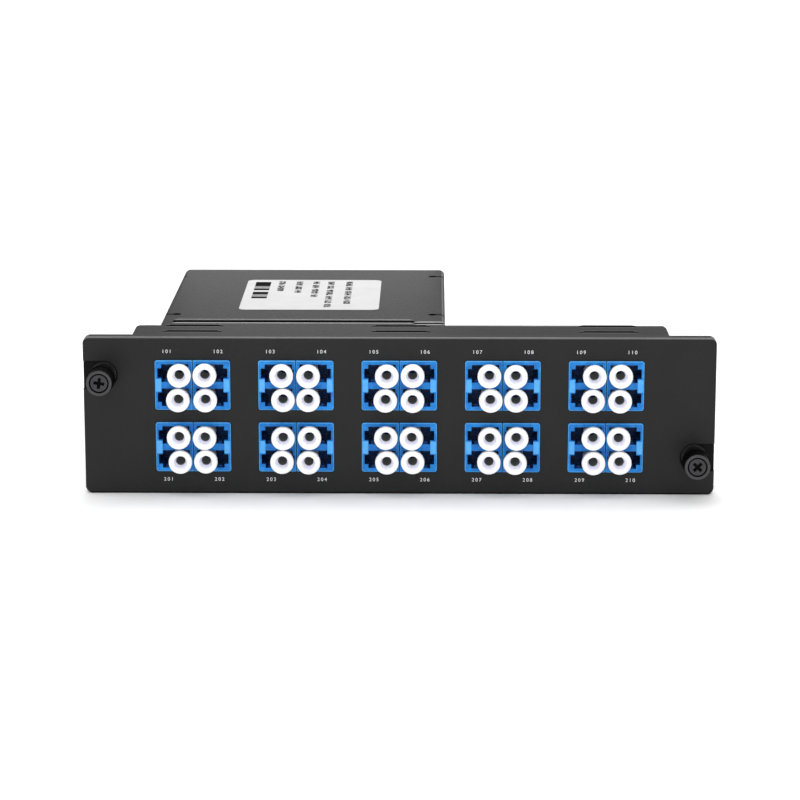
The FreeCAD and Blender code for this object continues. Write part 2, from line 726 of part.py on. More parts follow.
def cover_screw_places():
    """Seat of the head, at the flange's outer face, and the direction of each cover screw."""
    z = row_places[0]
    places = []
    for x, inward in ((rear_left, 1), (rear_right, -1)):
        for y in (relief_front + HOUSING_SCREW_INSET, relief_back - HOUSING_SCREW_INSET):
            places.append((V(x, y, z), V(inward, 0, 0)))
    return places


def housing_screw(grow, seat, direction):
    """Countersunk screw with its head at the seat, or the hole for it when grown."""
    cone = HOUSING_HEAD_RADIUS - HOUSING_SCREW_RADIUS
    length = SHEET + PANEL_THICKNESS - PANEL_SKIN - HOUSING_SCREW_TIP_ROOM + grow
    head = Part.makeCone(HOUSING_HEAD_RADIUS + grow, HOUSING_SCREW_RADIUS + grow, cone, seat, direction)
    shank = Part.makeCylinder(HOUSING_SCREW_RADIUS + grow, length, seat, direction)
    return head.fuse(shank)


def housing_screws():
    """The screws of the cover and of the panel, each with its drive recess."""
    places = cover_screw_places()
    places += [(V(x, SHEET, z), V(0, -1, 0)) for x, z in panel_screw_places()]
    screws = []
    for seat, direction in places:
        recess = Part.makeCylinder(DRIVE_RADIUS, DRIVE_DEPTH, seat, direction)
        screws.append(housing_screw(0, seat, direction).cut(recess))
    return screws


def tray():
    """Folded tray under the cover, open to the panel, with tabs that screw to the panel's rear."""
    outer = housing_plan(tray_inset, 0, panel_bottom, cover_under)
    outer = outer.makeFillet(BEND_RADIUS, edges_at_height(outer, panel_bottom))
    shell = outer.cut(housing_plan(wall_inset, -OVERCUT, tray_floor, cover_under + OVERCUT))
    wall = front_section_width / 2 - wall_inset
    tab_half = TRAY_TAB_HEIGHT / 2
    tabs = [
        box(wall - TRAY_TAB_WIDTH, wall, 0, SHEET, -tab_half, tab_half),
        box(-wall, TRAY_TAB_WIDTH - wall, 0, SHEET, -tab_half, tab_half),
    ]
    holes = [housing_screw(HOUSING_SCREW_FIT, *place) for place in cover_screw_places()]
    for x, z in panel_screw_places():
        holes.append(housing_screw(HOUSING_SCREW_FIT, V(x, SHEET, z), V(0, -1, 0)))
    return shell.fuse(tabs).cut(holes).removeSplitter()


def pigtail_plug():
    """Short plug on the Y axis in an adapter's rear port, its latch arm towards +X."""
    half = PORT_HEIGHT / 2 - PLUG_CLEARANCE
    nose = adapter_middle + WEB_THICKNESS / 2 + PLUG_NOSE_ROOM
    tail = adapter_back + PLUG_TAIL
    floor = nose + PLUG_NOSE_DEPTH
    body = box(-half, half, nose, tail, -half, half)
    body = body.cut(rod(half - PLUG_NOSE_WALL, 0, 0, nose, floor))
    pin = rod(PLUG_FERRULE_RADIUS, 0, 0, adapter_middle + PLUG_TIP_GAP, floor + PLUG_FERRULE_ROOT)
    boot = Part.makeCone(BOOT_RADIUS, BOOT_TIP_RADIUS, BOOT_LENGTH, V(0, tail, 0), V(0, 1, 0))
    arm_outer = half + PLUG_ARM_REACH
    arm_half = PLUG_ARM_WIDTH / 2
    arm_root = box(half, arm_outer, floor, floor + PLUG_ARM_THICKNESS, -arm_half, arm_half)
    arm = box(arm_outer - PLUG_ARM_THICKNESS, arm_outer, floor, tail, -arm_half, arm_half)
    return body.fuse([pin, boot, arm_root, arm]).removeSplitter()


def channel_filter():
    """Sealed filter tube on the Y axis with a boot at each end."""
    front = loop_middle - FILTER_LENGTH / 2
    back = loop_middle + FILTER_LENGTH / 2
    tube = rod(FILTER_RADIUS, 0, 0, front, back)
    ends = [
        rod(FILTER_END_RADIUS, 0, 0, front - FILTER_END_LENGTH, front),
        rod(FILTER_END_RADIUS, 0, 0, back, back + FILTER_END_LENGTH),
    ]
    return tube.fuse(ends)


def filter_places():
    """Axis of every filter in the rack."""
    for row in range(FILTER_ROWS):
        z = tray_floor + RACK_BASE + (row + 0.5) * FILTER_PITCH
        for column in range(FILTER_COLUMNS):
            yield rear_middle + (column - (FILTER_COLUMNS - 1) / 2) * FILTER_PITCH, z


def filter_rack():
    """Base with two pierced plates that carry the filters."""
    half_length = FILTER_LENGTH / 2
    left = rear_middle - rack_width / 2
    right = rear_middle + rack_width / 2
    top = tray_floor + RACK_BASE + FILTER_ROWS * FILTER_PITCH + RACK_EDGE
    front = loop_middle - half_length
    back = loop_middle + half_length
    base = box(left, right, front, back, tray_floor, tray_floor + RACK_BASE)
    plates = []
    for y in (front + RACK_PLATE_SETBACK, back - RACK_PLATE_SETBACK - RACK_PLATE):
        plates.append(box(left, right, y, y + RACK_PLATE, tray_floor, top))
    holes = [rod(FILTER_RADIUS + FILTER_FIT, x, z, front, back) for x, z in filter_places()]
    return base.fuse(plates).cut(holes).removeSplitter()


def loop_track(radius):
    """Upright prism on a plan of two half turns joined by straight sides."""
    left = rear_middle - radius
    right = rear_middle + radius
    front = loop_middle - LOOP_STRAIGHT / 2
    back = loop_middle + LOOP_STRAIGHT / 2

    def at(x, y):
        return V(x, y, tray_floor)

    outline = Part.Wire([
        Part.Arc(at(left, front), at(rear_middle, front - radius), at(right, front)).toShape(),
        Part.makeLine(at(right, front), at(right, back)),
        Part.Arc(at(right, back), at(rear_middle, back + radius), at(left, back)).toShape(),
        Part.makeLine(at(left, back), at(left, front)),
    ])
    return Part.Face(outline).extrude(V(0, 0, cover_under - LOOP_TOP_ROOM - tray_floor))


def fibre_loop():
    """Band of stored fibre along the walls of the rear section."""
    return loop_track(loop_outer).cut(loop_track(loop_inner))


def fibre_trunk(start_x, side_x, z):
    """Bundle behind the plugs that turns into the rear section and joins the loop."""
    turn = math.copysign(TRUNK_BEND, start_x - side_x)
    share = 1 - math.cos(math.pi / 4)
    corner = V(side_x + turn, trunk_y, z)
    middle = V(side_x + turn * share, trunk_y + TRUNK_BEND * share, z)
    into = V(side_x, trunk_y + TRUNK_BEND, z)
    path = Part.Wire([
        Part.makeLine(V(start_x, trunk_y, z), corner),
        Part.Arc(corner, middle, into).toShape(),
        Part.makeLine(into, V(side_x, loop_middle, z)),
    ])
    section = Part.Wire(Part.makeCircle(TRUNK_RADIUS, V(start_x, trunk_y, z), V(1, 0, 0)))
    return path.makePipeShell([section], True, True)


def fibre_harness():
    """Loop, trunks and the tail of every plug as one bundle."""
    loop_line = (loop_inner + loop_outer) / 2
    left_line = rear_middle - loop_line
    right_line = rear_middle + loop_line
    levels = {}
    tails = []
    for _, _, _, x, z, _ in port_places():
        levels.setdefault(z, []).append(x)
        tails.append(rod(FIBRE_RADIUS, x, z, boot_tip, trunk_y))
    trunks = []
    for z, places in levels.items():
        right_side = [x for x in places if x > right_line + TRUNK_BEND]
        left_side = [x for x in places if x not in right_side]
        trunks.append(fibre_trunk(max(left_side) + TRUNK_END, left_line, z))
        if right_side:
            trunks.append(fibre_trunk(max(right_side) + TRUNK_END, right_line, z))
    return fibre_loop().fuse(trunks + tails).removeSplitter()


def save(name, shapes):
    """Write one sub-part, a single solid or a group of separate solids."""
    shape = shapes[0] if len(shapes) == 1 else Part.makeCompound(shapes)
    shape.exportStep(os.path.join("parts", name + ".step"))


def main():
    os.makedirs("parts", exist_ok=True)
    save("front_panel", [front_panel()])
    save("housing_tray", [tray()])
    save("top_cover", [top_cover()])
    save("housing_screws", housing_screws())

    right_hand = duplex_adapter()
    left_hand = right_hand.mirror(V(0, 0, 0), V(1, 0, 0))
    adapters = []
    for _, _, x, z, side in adapter_outlines():
        adapters.append(moved(right_hand if side > 0 else left_hand, x, z))
    save("duplex_adapters", adapters)

    holder = sleeve_holder()
    sleeve = split_sleeve()
    right_plug = pigtail_plug()
    left_plug = right_plug.mirror(V(0, 0, 0), V(1, 0, 0))
    cap = dust_cap()
    holders = []
    sleeves = []
    plugs = []
    for index, (row, number, letter, x, z, side) in enumerate(port_places()):
        holders.append(moved(holder, x, z))
        sleeves.append(moved(sleeve, x, z))
        plugs.append(moved(right_plug if side > 0 else left_plug, x, z))
        save(f"dust_cap_{row + 1}{number + 1:02d}{letter}", [leaning_cap(cap, x, z, index)])
    save("sleeve_holders", holders)
    save("split_sleeves", sleeves)
    save("pigtail_plugs", plugs)

    ferrule = screw_ferrule()
    knob = thumb_knob()
    ring = retaining_ring()
    spring = return_spring()
    for side, (x, z, cross_turn) in screw_places.items():
        save(side + "_knob", [moved(knob, x, z)])
        save(side + "_captive_screw", [moved(captive_screw(cross_turn), x, z)])
        save(side + "_retaining_ring", [moved(ring, x, z)])
        save(side + "_return_spring", [moved(spring, x, z)])
    save("screw_ferrules", [moved(ferrule, x, z) for x, z, _ in screw_places.values()])

    filter_tube = channel_filter()
    save("channel_filters", [moved(filter_tube, x, z) for x, z in filter_places()])
    save("filter_rack", [filter_rack()])
    save("fibre_harness", [fibre_harness()])


main()
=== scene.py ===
"""Looks of a plug-in fibre multiplexer module: finishes, print, threads, lips, studio light and camera."""

import math
import random

import bmesh
import bpy
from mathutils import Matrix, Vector


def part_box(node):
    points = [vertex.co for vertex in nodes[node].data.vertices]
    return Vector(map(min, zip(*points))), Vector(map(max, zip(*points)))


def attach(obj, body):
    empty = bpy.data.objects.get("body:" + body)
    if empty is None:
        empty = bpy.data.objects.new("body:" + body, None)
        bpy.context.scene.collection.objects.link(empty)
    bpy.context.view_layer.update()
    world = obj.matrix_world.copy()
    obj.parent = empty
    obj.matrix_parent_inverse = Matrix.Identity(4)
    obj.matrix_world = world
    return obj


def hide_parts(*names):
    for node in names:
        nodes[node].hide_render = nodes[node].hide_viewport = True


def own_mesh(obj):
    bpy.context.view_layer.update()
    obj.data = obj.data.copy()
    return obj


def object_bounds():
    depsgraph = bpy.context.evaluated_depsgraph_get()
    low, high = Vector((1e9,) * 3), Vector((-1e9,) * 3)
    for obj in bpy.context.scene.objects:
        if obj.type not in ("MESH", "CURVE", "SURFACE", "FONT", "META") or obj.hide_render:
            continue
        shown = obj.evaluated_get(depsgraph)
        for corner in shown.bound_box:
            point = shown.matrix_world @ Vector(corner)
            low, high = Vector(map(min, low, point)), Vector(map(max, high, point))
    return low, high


MM = 0.001

# Camera: well in front of the panel, above it and a little right of its middle
CAMERA_MM = (8.4, -703.3, 163.3)
AIM_MM = (0.17, -3.3, 4.22)
LENS_MM = 127.7
SENSOR_MM = 36.0

# Patterns of the finishes: octaves of their two noises, and the range of the product from dark to light
CLOUD_DETAIL = 2.0
GRAIN_DETAIL = 3.0
DRIFT_RANGE = (0.12, 0.4)

# Port numbers printed on the panel, above and below the adapters
PORT_COLUMNS = 5
PAIR_WIDTH_MM = 19.0
NUMBER_EDGE_MM = 3.75
NUMBER_SPREAD_MM = 6.47
NUMBER_TYPE_MM = 1.3
NUMBER_TRACKING = 1.4
NUMBER_WEIGHT_MM = 0.005
INK_MM = 0.02

# Paper label on the cover, read from the right-hand side
LABEL_RIGHT_MM = -6.3
LABEL_BACK_SETBACK_MM = 17.8
LABEL_WIDTH_MM = 38.1
LABEL_DEPTH_MM = 44.6
LABEL_CORNER_MM = 2.0
LABEL_CORNER_STEPS = 8
LABEL_THICKNESS_MM = 0.1
LINE_MARGIN_MM = 2.6
LINE_HEIGHT_MM = 1.9
LINE_PLACES_MM = (9.0, 14.2, 18.4, 23.2, 28.2)
LINE_LENGTHS_MM = (34.0, 39.0, 24.3, 18.6, 15.0)
LETTER_WIDTH_MM = 1.0
LETTER_PITCH_MM = 1.25
STEM_WIDTH_MM = 0.5
ARM_HEIGHT_MM = 0.5
LETTER_ARMS = (1, 3)
WORD_LETTERS = (3, 9)
BARS_PLACE_MM = 31.4
BARS_MARGIN_MM = 3.5
BARS_HEIGHT_MM = 4.3
BAR_WIDTHS_MM = (6.4, 0.8, 0.8, 2.6, 3.8, 0.7, 0.7, 2.4)
BAR_GAPS_MM = (0.5, 0.9, 0.6, 2.6, 0.6, 0.8, 0.6, 0.0)

# Dust cap: the bore, painted dark for its shade and with a painted glow, starts behind the flared mouth,
# and light reaches a little way into the plastic
CAP_BORE_RADIUS_MM = 1.18
CAP_BORE_MARGIN_MM = 0.1
CAP_MOUTH_RADIUS_MM = 1.7
CAP_MOUTH_DEPTH_MM = 2.4
CAP_END_BAND_MM = 0.6
CAP_LIGHT_REACH_MM = (1.2, 1.2, 1.6)

# Faces that take a finish of their own, chosen by their place and by the slope of their normal; most of
# these finishes are painted shade or painted highlights
KNOB_FACE_BAND_MM = 0.08
HEAD_DEPTH_MM = 1.3
POCKET_RADIUS_MM = 3.7
POCKET_DEPTH_MM = 0.1
EDGE_BAND_MM = 0.9
EDGE_FACING = (0.45, 0.98)
UNDERSIDE_FACING = 0.3
PAD_BAND_MM = 0.1
BEVEL_DEPTH_MM = 0.4
BEVEL_SLOPE = -0.9
PORT_DEPTH_MM = 0.8
CUT_DEPTH_MM = 0.95
CUT_FACING = -0.2
BEND_DEPTH_MM = 1.2
BEND_FACING = (0.75, 0.96)
WIDE_SECTION_MM = 33.0

# Long walls of the cover's cuts and rear edges, found in its mesh behind its front end
COVER_FRONT_MM = 2.0
WALL_STEEPNESS = 0.35
WALL_GAP_MM = 0.3
WALL_SHORTEST_MM = 8.0
SEAM_END_LONGEST_MM = 10.0
STRAP_LONGEST_MM = 20.0

# Raised lips along those walls: each pair of heights is that of the far lip and of the near lip
LIP_SINK_MM = 0.03
LIP_TAPER_MM = 1.2
LIP_STEPS = 8
# Faces of the straps' lips that turn forward more than this take painted shade
LIP_FRONT_FACING = -0.4
SEAM_LIP_WIDTH_MM = 1.0
SEAM_LIP_SETBACK_MM = 0.3
SEAM_LIP_HEIGHTS_MM = (0.25, 0.1)
STRAP_LIP_WIDTH_MM = 0.7
STRAP_LIP_SETBACK_MM = 0.0
STRAP_LIP_HEIGHTS_MM = (0.3, 0.03)

# Captive screw: M3 coarse thread behind the retaining ring
THREAD_PITCH_MM = 0.5
THREAD_DEPTH_MM = 0.28
THREAD_SINK_MM = 0.03
THREAD_STEPS = 24

# Stage: floor, surroundings, and softboxes above, behind, in front and at both sides
FLOOR_REACH_MM = 6000.0
SKY_HORIZON = 0.32
SKY_ZENITH = 1.8
TOP_BOX_MM = (0.0, 330.0, 620.0)
TOP_BOX_AIM_MM = (0.0, 0.0, 0.0)
TOP_BOX_SIZE_MM = (340.0, 340.0)
TOP_BOX_POWER = 1.6
BACK_BOX_MM = (-30.0, 150.0, 28.0)
BACK_BOX_AIM_MM = (-30.0, 100.0, 18.0)
BACK_BOX_SIZE_MM = (80.0, 40.0)
BACK_BOX_POWER = 0.006
FRONT_BOX_MM = (0.0, -1600.0, 350.0)
FRONT_BOX_AIM_MM = (0.0, 0.0, 0.0)
FRONT_BOX_SIZE_MM = (900.0, 900.0)
FRONT_BOX_POWER = 8.0
SIDE_BOX_MM = (1500.0, 600.0, 400.0)
SIDE_BOX_AIM_MM = (0.0, 60.0, 0.0)
SIDE_BOX_SIZE_MM = (900.0, 900.0)
SIDE_BOX_POWER = 6.0

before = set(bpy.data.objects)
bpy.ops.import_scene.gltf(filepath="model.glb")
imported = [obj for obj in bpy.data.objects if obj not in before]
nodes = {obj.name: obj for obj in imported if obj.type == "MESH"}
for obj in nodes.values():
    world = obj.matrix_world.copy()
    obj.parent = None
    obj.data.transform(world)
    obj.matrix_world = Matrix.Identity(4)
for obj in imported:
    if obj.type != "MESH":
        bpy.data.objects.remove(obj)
cad_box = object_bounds()
draw = random.Random(11)


def linear(colour):
    """Linear RGBA of an sRGB hex colour."""
    channels = [int(colour[i:i + 2], 16) / 255 for i in (1, 3, 5)]
    return [c / 12.92 if c <= 0.04045 else ((c + 0.055) / 1.055) ** 2.4 for c in channels] + [1.0]


def per_mm(size_mm):
    """Texture scale that gives features of a real size."""
    return 1 / (size_mm * MM)


def add(material, kind, settings, inputs):
    """Adds one shader node with its settings; an input is a plain value or a socket to link."""
    tree = material.node_tree
    made = tree.nodes.new("ShaderNode" + kind)
    for name, value in settings.items():
        setattr(made, name, value)
    for name, value in inputs.items():
        if isinstance(value, bpy.types.NodeSocket):
            tree.links.new(value, made.inputs[name])
        else:
            made.inputs[name].default_value = value
    return made


def new_material(name, **plain):
    """Material with a surface shader; plain inputs are the same all over the surface."""
    material = bpy.data.materials.new(name)
    material.use_nodes = True
    surface = material.node_tree.nodes["Principled BSDF"]
    for key, value in plain.items():
        surface.inputs[key.replace("_", " ")].default_value = value
    return material, surface


def mottled(material, surface, dark, light, cloud_mm, grain_mm, relief_mm, rough):
    """Colour that drifts between two shades, a fine relief and a roughness that follows the relief."""
    links = material.node_tree.links
    place = add(material, "TexCoord", {}, {}).outputs["Object"]
    cloud_inputs = {"Vector": place, "Scale": per_mm(cloud_mm), "Detail": CLOUD_DETAIL}
    cloud = add(material, "TexNoise", {}, cloud_inputs).outputs["Fac"]
    grain_inputs = {"Vector": place, "Scale": per_mm(grain_mm), "Detail": GRAIN_DETAIL}
    grain = add(material, "TexNoise", {}, grain_inputs).outputs["Fac"]
    both = add(material, "Math", {"operation": "MULTIPLY"}, {0: cloud, 1: grain}).outputs[0]
    least, most = DRIFT_RANGE
    drift = add(material, "MapRange", {}, {"Value": both, "From Min": least, "From Max": most}).outputs[0]
    # The mix node's colours are its inputs 6 and 7 and its output 2
    shades = {0: drift, 6: linear(dark), 7: linear(light)}
    tint = add(material, "Mix", {"data_type": "RGBA"}, shades).outputs[2]
    links.new(tint, surface.inputs["Base Color"])
    smooth, dull = rough
    sheen = add(material, "MapRange", {}, {"Value": grain, "To Min": smooth, "To Max": dull}).outputs[0]
    links.new(sheen, surface.inputs["Roughness"])
    relief_inputs = {"Height": grain, "Distance": relief_mm * MM, "Strength": 1.0}
    relief = add(material, "Bump", {}, relief_inputs).outputs[0]
    links.new(relief, surface.inputs["Normal"])


def powder_coat(name, dark, light, gloss, relief_mm):
    """Baked black polyester powder on steel: satin, with an orange-peel grain that softens reflections."""
    material, surface = new_material(name, Specular_IOR_Level=gloss)
    mottled(material, surface, dark, light,
            cloud_mm=9.0, grain_mm=0.9, relief_mm=relief_mm, rough=(0.4, 0.5))
    return material


def adapter_plastic(name, dark, light, shine, rough):
    """Moulded blue PBT: smooth and satin, with the flow marks of the mould."""
    material, surface = new_material(name, Specular_IOR_Level=shine)
    mottled(material, surface, dark, light,
            cloud_mm=4.0, grain_mm=1.2, relief_mm=0.004, rough=rough)
    return material


def cap_plastic(name, dark, light, glow=0.0):
    """Moulded white polyethylene: light passes into it, so its shade stays pale and slightly violet; glow
    adds a painted glow that stands in for that light.
    """
    material, surface = new_material(name, Specular_IOR_Level=0.4, Subsurface_Weight=0.5)
    surface.inputs["Subsurface Radius"].default_value = [reach * MM for reach in CAP_LIGHT_REACH_MM]
    surface.inputs["Subsurface Scale"].default_value = 1.0
    surface.inputs["Emission Color"].default_value = linear("#e0e0ff")
    surface.inputs["Emission Strength"].default_value = glow
    mottled(material, surface, dark, light,
            cloud_mm=2.0, grain_mm=0.5, relief_mm=0.004, rough=(0.36, 0.46))
    return material


def cap_bore():
    """The same moulding deep in its bore, painted dark for the shade there, with a painted glow that
    stands in for the light its thin wall lets through.
    """
    material, surface = new_material("polyethylene_bore_painted_shade_and_glow", Specular_IOR_Level=0.15, Emission_Strength=0.5)
    surface.inputs["Emission Color"].default_value = linear("#3c403d")
    mottled(material, surface, "#585a59", "#646665",
            cloud_mm=1.5, grain_mm=0.4, relief_mm=0.004, rough=(0.7, 0.8))
    return material


def turned_black(name, dark, light):
    """Black-oxided turned metal: fine tool marks, drawn coarser than they are, spread the highlight."""
    material, surface = new_material(name, Metallic=0.55)
    mottled(material, surface, dark, light,
            cloud_mm=1.2, grain_mm=0.12, relief_mm=0.006, rough=(0.34, 0.5))
    return material


def knurled_black(name):
    """Knurled black anodised aluminium, painted nearly black for the shade that its sharp ridges trap."""
    material, surface = new_material(name, Specular_IOR_Level=0.05)
    mottled(material, surface, "#020202", "#050505",
            cloud_mm=1.0, grain_mm=0.12, relief_mm=0.006, rough=(0.45, 0.6))
    return material


def bright_wire():
    """Drawn spring steel: bright, with fine scratches that are drawn coarser than they are."""
    material, surface = new_material("spring_steel_wire", Metallic=1.0)
    mottled(material, surface, "#a9a9aa", "#c4c4c6",
            cloud_mm=0.8, grain_mm=0.1, relief_mm=0.003, rough=(0.22, 0.34))
    return material


def ceramic():
    """Ground zirconia: dense, white and faintly warm, with a polished sheen."""
    material, surface = new_material("ground_zirconia", Specular_IOR_Level=0.6)
    mottled(material, surface, "#e9e6df", "#f4f2ec",
            cloud_mm=0.8, grain_mm=0.1, relief_mm=0.001, rough=(0.18, 0.26))
    return material


def moulded(name, dark, light):
    """Small moulded part: matte, with the grain of a sparked mould."""
    material, surface = new_material(name, Specular_IOR_Level=0.4)
    mottled(material, surface, dark, light,
            cloud_mm=2.5, grain_mm=0.3, relief_mm=0.008, rough=(0.45, 0.58))
    return material


def sealed_glass():
    """Sealed filter tube: pale coated glass, smooth and glossy."""
    material, surface = new_material("coated_glass_tube", Specular_IOR_Level=0.5)
    mottled(material, surface, "#b4bcc2", "#ccd3d7",
            cloud_mm=4.0, grain_mm=0.8, relief_mm=0.001, rough=(0.1, 0.18))
    return material


def label_paper():
    """White coated label paper: nearly smooth, with faint fibres."""
    material, surface = new_material("coated_label_paper", Specular_IOR_Level=0.3)
    mottled(material, surface, "#bebebe", "#c6c6c6",
            cloud_mm=6.0, grain_mm=0.25, relief_mm=0.004, rough=(0.5, 0.62))
    return material


def ink(name, dark, light):
    """Printed ink: flat and dense, a little uneven where the print is thin."""
    material, surface = new_material(name, Specular_IOR_Level=0.03)
    mottled(material, surface, dark, light,
            cloud_mm=1.0, grain_mm=0.15, relief_mm=0.001, rough=(0.8, 0.9))
    return material


def dress(names, material):
    """Gives CAD nodes one finish."""
    for name in names:
        slots = nodes[name].data.materials
        slots.clear()
        slots.append(material)


def dress_faces(mesh, finishes, choose):
    """Gives each face of a mesh one of several finishes: the one that choose returns for it."""
    mesh.materials.clear()
    for finish in finishes:
        mesh.materials.append(finish)
    for face in mesh.polygons:
        face.material_index = finishes.index(choose(face))


def middle(points):
    """Mean of some points."""
    return sum(points, Vector()) / len(points)


def dress_cap(name, white, mouth, bore):
    """White cap, leaning a little in its port, with painted shade and a painted glow on the flare in its
    mouth, and a bore painted dark for its shade, with a painted glow.
    """
    mesh = nodes[name].data
    low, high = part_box(name)
    band = CAP_END_BAND_MM * MM
    face_middle = middle([v.co for v in mesh.vertices if v.co.y < low.y + band])
    tip_middle = middle([v.co for v in mesh.vertices if v.co.y > high.y - band])
    axis = (tip_middle - face_middle).normalized()
    bore_reach = (CAP_BORE_RADIUS_MM + CAP_BORE_MARGIN_MM) * MM
    mouth_reach = CAP_MOUTH_RADIUS_MM * MM

    def choose(face):
        offset = face.center - face_middle
        depth = offset.dot(axis)
        across = (offset - axis * depth).length
        if depth > CAP_MOUTH_DEPTH_MM * MM and across < bore_reach:
            return bore
        return mouth if across < mouth_reach else white

    dress_faces(mesh, (white, mouth, bore), choose)


def dress_knob(side, knurl_shade, turned):
    """Knob with knurled sides painted nearly black for their shade, and a turned front face."""
    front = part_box(f"{side}_knob")[0].y + KNOB_FACE_BAND_MM * MM

    def choose(face):
        return turned if face.center.y < front else knurl_shade

    dress_faces(nodes[f"{side}_knob"].data, (knurl_shade, turned), choose)


def dress_panel(paint, pocket_shade_paint, edge_highlight_paint):
    """Panel with dull pockets and underside that carry painted shade, and with a painted highlight along
    its upper edge.
    """
    panel_low, panel_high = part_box("front_panel")
    front = panel_low.y + POCKET_DEPTH_MM * MM
    back = panel_high.y - POCKET_DEPTH_MM * MM
    reach = POCKET_RADIUS_MM * MM
    screws = [middle(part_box(f"{side}_knob")) for side in ("left", "right")]
    upper_edge = panel_high.z - EDGE_BAND_MM * MM
    lower_edge = panel_low.z + EDGE_BAND_MM * MM

    def choose(face):
        place = face.center
        # Faces of the upper edge that slope upwards take a painted highlight
        if place.z > upper_edge and EDGE_FACING[0] < face.normal.z < EDGE_FACING[1]:
            return edge_highlight_paint
        # The underside edge and the screw pockets below take painted shade
        if place.z < lower_edge and face.normal.z < -UNDERSIDE_FACING:
            return pocket_shade_paint
        for screw in screws:
            outward = math.copysign(1.0, screw.x)
            beside = (screw.x - place.x) * outward < reach
            if front < place.y < back and beside and abs(place.z - screw.z) < reach:
                return pocket_shade_paint
        return paint

    dress_faces(nodes["front_panel"].data, (paint, pocket_shade_paint, edge_highlight_paint), choose)


def dress_adapters(face_blue, pad_highlight_blue, port_shade_blue):
    """Adapters with painted highlights on their pads and bevelled edges, and painted shade of a deeper
    blue on their port walls.
    """
    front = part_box("duplex_adapters")[0].y

    def choose(face):
        depth = face.center.y - front
        bevel = depth < BEVEL_DEPTH_MM * MM and face.normal.y > BEVEL_SLOPE
        if depth < PAD_BAND_MM * MM or bevel:
            return pad_highlight_blue
        return port_shade_blue if depth > PORT_DEPTH_MM * MM else face_blue

    dress_faces(nodes["duplex_adapters"].data, (face_blue, pad_highlight_blue, port_shade_blue), choose)


def dress_cover(paint, cut_shade_paint, bend_highlight_paint):
    """Cover with painted shade on the walls of its cuts, and a painted highlight on its right bend behind
    the wide section.
    """
    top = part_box("top_cover")[1].z
    cut_floor = top - CUT_DEPTH_MM * MM
    bend_floor = top - BEND_DEPTH_MM * MM
    flat = math.sqrt(1 - CUT_FACING ** 2)

    def choose(face):
        # Steep walls inside the cuts take painted shade
        if face.center.z > cut_floor and face.normal.y < CUT_FACING and face.normal.z < flat:
            return cut_shade_paint
        # Faces of the right bend behind the wide section take a painted highlight
        bent = face.normal.x > 0 and BEND_FACING[0] < face.normal.z < BEND_FACING[1]
        behind = face.center.y > WIDE_SECTION_MM * MM
        return bend_highlight_paint if bent and behind and face.center.z > bend_floor else paint

    dress_faces(nodes["top_cover"].data, (paint, cut_shade_paint, bend_highlight_paint), choose)


def dress_nodes():
    """Finish of every CAD node."""
    paint = powder_coat("black_powder_panel", "#101010", "#151515", gloss=0.24, relief_mm=0.03)
    # Painted shade for the screw pockets and the underside edge
    pocket_shade_paint = powder_coat("black_powder_pocket_painted_shade", "#050505", "#090909", gloss=0.1, relief_mm=0.03)
    # Painted highlight for the panel's upper edge and the cover's right bend
    edge_highlight_paint = powder_coat("black_powder_edge_painted_highlight", "#4a4a4a", "#545454", gloss=0.6, relief_mm=0.03)
    dress_panel(paint, pocket_shade_paint, edge_highlight_paint)
    housing_paint = powder_coat("black_powder_housing", "#0e0e0e", "#161616", gloss=0.2, relief_mm=0.12)
    # Painted shade for the walls of the cover's cuts
    cut_shade_paint = powder_coat("black_powder_cut_painted_shade", "#030303", "#050505", gloss=0.05, relief_mm=0.05)
    dress(["housing_tray"], housing_paint)
    dress_cover(housing_paint, cut_shade_paint, edge_highlight_paint)
    face_blue = adapter_plastic("blue_pbt_moulding", "#0466b8", "#1a88dc", shine=0.25, rough=(0.34, 0.44))
    # Painted highlight for the pads and the bevelled edges
    pad_highlight_blue = adapter_plastic("blue_pbt_pad_painted_highlight", "#4aa4ec", "#5ab2f2", shine=0.25, rough=(0.34, 0.44))
    # Painted shade for the port walls and for the sleeve holders deep in the ports
    port_shade_blue = adapter_plastic("blue_pbt_port_painted_shade", "#073670", "#08407e", shine=0.2, rough=(0.22, 0.32))
    dress_adapters(face_blue, pad_highlight_blue, port_shade_blue)
    dress(["sleeve_holders"], port_shade_blue)
    # Black anodise painted nearly black for the shade in the knurl and in the screws' cross recesses
    knurl_shade = knurled_black("anodised_knurl_painted_shade")
    turned = turned_black("anodised_face", "#373738", "#404042")
    head = turned_black("black_oxide_head", "#2d2d2f", "#363638")
    screw_black = turned_black("black_oxide_screw", "#1c1c1d", "#28282a")
    wire = bright_wire()
    for side in ("left", "right"):
        dress_knob(side, knurl_shade, turned)
        threaded_screw(side, screw_black, head, knurl_shade)
        return_spring(side, wire)
    dress(["housing_screws"], screw_black)
    dress(["screw_ferrules"], turned_black("anodised_ferrule", "#202021", "#2c2c2e"))
    dress(["left_retaining_ring", "right_retaining_ring"], wire)
    dress(["split_sleeves"], ceramic())
    dress(["pigtail_plugs"], moulded("plug_moulding", "#1a4f9c", "#215fb4"))
    dress(["channel_filters"], sealed_glass())
    dress(["filter_rack"], moulded("rack_moulding", "#1b1b1c", "#262627"))
    dress(["fibre_harness"], moulded("fibre_buffer", "#d9b93a", "#e6c94e"))
    white = cap_plastic("white_polyethylene", "#f4f4f8", "#fafafc")
    # Painted violet shade and a painted glow on the flare of the caps' mouths
    mouth = cap_plastic("polyethylene_mouth_painted_shade_and_glow", "#eeeefa", "#f4f4fe", glow=0.12)
    bore = cap_bore()
    for name in nodes:
        if name.startswith("dust_cap"):
            dress_cap(name, white, mouth, bore)


